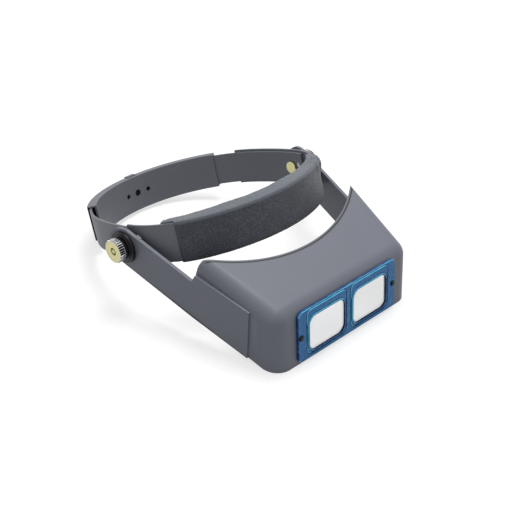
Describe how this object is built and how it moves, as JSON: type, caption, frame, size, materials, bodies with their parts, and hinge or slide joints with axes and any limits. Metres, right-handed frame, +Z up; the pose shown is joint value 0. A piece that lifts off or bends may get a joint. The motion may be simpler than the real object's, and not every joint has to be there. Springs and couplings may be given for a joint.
{
  "type": "binocular head loupe",
  "caption": "Head-worn binocular magnifier: tilting visor hood with a clip-on two-window lens plate on a padded, size-adjustable headband with friction pivots.",
  "frame": {"origin": "centre of the bounding box on the table that the loupe stands on", "axes": "+X to the wearer's left, +Y to the back of the head, +Z up"},
  "size_m": [0.2104, 0.2512, 0.0904],
  "materials": {
    "hood_plastic": "fine matt moulded grey",
    "strap_plastic": "smooth matt grey strip",
    "plate_plastic": "clear tinted blue moulding",
    "lens_glass": "polished clear lens",
    "stud_plastic": "dark smooth",
    "washer_plastic": "black satin",
    "friction_rubber": "dull black",
    "bolt_brass": "pale plated, polished",
    "nut_plate": "nickel plated, knurled rim",
    "rivet_metal": "bright",
    "cover_leatherette": "fine-grained charcoal leatherette",
    "pad_foam": "soft open foam"
  },
  "bodies": {
    "headband": {"front_band": "strap_plastic", "rear_strap": "strap_plastic", "strap_rivet": "rivet_metal", "pad_foam": "pad_foam", "pad_cover": "cover_leatherette", "pivot_bolt_right": "bolt_brass", "pivot_bolt_left": "bolt_brass", "inner_washer_right": "friction_rubber", "inner_washer_left": "friction_rubber"},
    "visor": {"visor_hood": "hood_plastic", "plate_stud_right": "stud_plastic", "plate_stud_left": "stud_plastic", "wide_washer_right": "washer_plastic", "wide_washer_left": "washer_plastic", "collar_washer_right": "washer_plastic", "collar_washer_left": "washer_plastic"},
    "lens_unit": {"lens_plate": "plate_plastic", "lens_right": "lens_glass", "lens_left": "lens_glass"},
    "sleeve": {"rear_sleeve": "strap_plastic"},
    "nut_right": {"thumb_nut_right": "nut_plate"},
    "nut_left": {"thumb_nut_left": "nut_plate"}
  },
  "joints": [
    {"name": "hood_tilt", "type": "hinge", "parent": "headband", "child": "visor", "pos_m": [0, 0.01485, 0.05164], "axis": [-1, 0, 0], "range_deg": [-15, 70]},
    {"name": "plate_pull", "type": "slide", "parent": "visor", "child": "lens_unit", "axis": [0, -0.9945, 0.1045], "range_m": [0, 0.012]},
    {"name": "sleeve_slide", "type": "hinge", "parent": "headband", "child": "sleeve", "pos_m": [0, 0.03776, 0.04353], "axis": [0, 0.3338, 0.9426], "range_deg": [-6, 6]},
    {"name": "nut_right_turn", "type": "hinge", "parent": "headband", "child": "nut_right", "pos_m": [-0.1025, 0.01485, 0.05164], "axis": [-1, 0, 0], "continuous": true},
    {"name": "nut_left_turn", "type": "hinge", "parent": "headband", "child": "nut_left", "pos_m": [0.1025, 0.01485, 0.05164], "axis": [1, 0, 0], "continuous": true}
  ]
}
